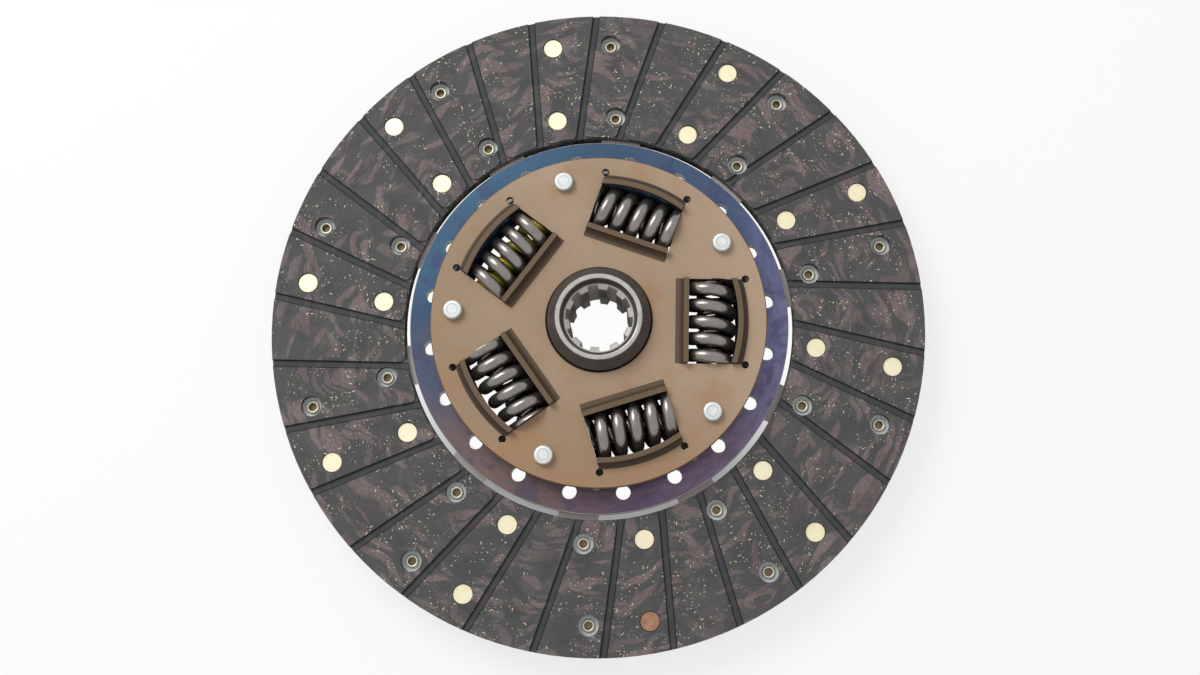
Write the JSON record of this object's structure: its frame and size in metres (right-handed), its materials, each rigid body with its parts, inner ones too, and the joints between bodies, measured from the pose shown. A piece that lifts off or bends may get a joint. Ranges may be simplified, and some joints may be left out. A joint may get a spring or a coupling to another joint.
{
  "type": "clutch disc",
  "caption": "Sprung dry clutch disc: grooved riveted friction facings, waved cushion plate, coil-spring damper between two side plates, splined hub.",
  "frame": {"origin": "on the hub's axis, at the middle of the cushion plate's wave, between the two facings", "axes": "+Z along the hub's axis, out of the front, the side of the tan retainer plate; +X through the middle of the first spring window"},
  "size_m": [0.2794, 0.2794, 0.0345],
  "materials": {
    "hub_steel": "dark forged steel, machined bright at the nose",
    "blued_steel": "heat-tinted, blue to purple",
    "tan_steel": "matte straw-tan heat-treated",
    "spring_steel": "bare spring steel",
    "friction_facing": "woven organic friction material, moulded and ground",
    "rivet_brass": "bright brass",
    "rivet_copper": "dull coppery brass",
    "pin_steel": "bright zinc-plated steel",
    "washer_composite": "moulded friction composite",
    "coil_steel": "oiled spring wire",
    "coil_paint": "oiled spring wire with yellow paint"
  },
  "bodies": {
    "disc": {"drive_plate": "blued_steel", "retainer_plate": "tan_steel", "cushion_plate": "spring_steel", "front_facing": "friction_facing", "rear_facing": "friction_facing", "front_facing_rivets": "rivet_brass", "copper_facing_rivet": "rivet_copper", "rear_facing_rivets": "rivet_brass", "cushion_plate_rivets": "pin_steel", "stop_pin_1": "pin_steel", "stop_pin_2": "pin_steel", "stop_pin_3": "pin_steel", "stop_pin_4": "pin_steel", "stop_pin_5": "pin_steel", "rear_friction_washer": "washer_composite", "front_friction_washer": "washer_composite", "conical_spring_washer": "spring_steel", "outer_spring_1": "coil_steel", "outer_spring_2": "coil_steel", "outer_spring_3": "coil_steel", "outer_spring_4": "coil_steel", "outer_spring_5": "coil_steel", "inner_spring_1": "coil_steel", "inner_spring_2": "coil_steel", "inner_spring_3": "coil_paint", "inner_spring_4": "coil_steel", "inner_spring_5": "coil_steel"},
    "hub": {"hub": "hub_steel"}
  },
  "joints": [
    {"name": "damper_turn", "type": "hinge", "parent": "hub", "child": "disc", "pos_m": [0, 0, 0], "axis": [0, 0, 1], "range_deg": [-3, 8], "stiffness_Nm_per_rad": 25, "deforming": ["outer_spring_1", "outer_spring_2", "outer_spring_3", "outer_spring_4", "outer_spring_5", "inner_spring_1", "inner_spring_2", "inner_spring_3", "inner_spring_4", "inner_spring_5"]}
  ]
}
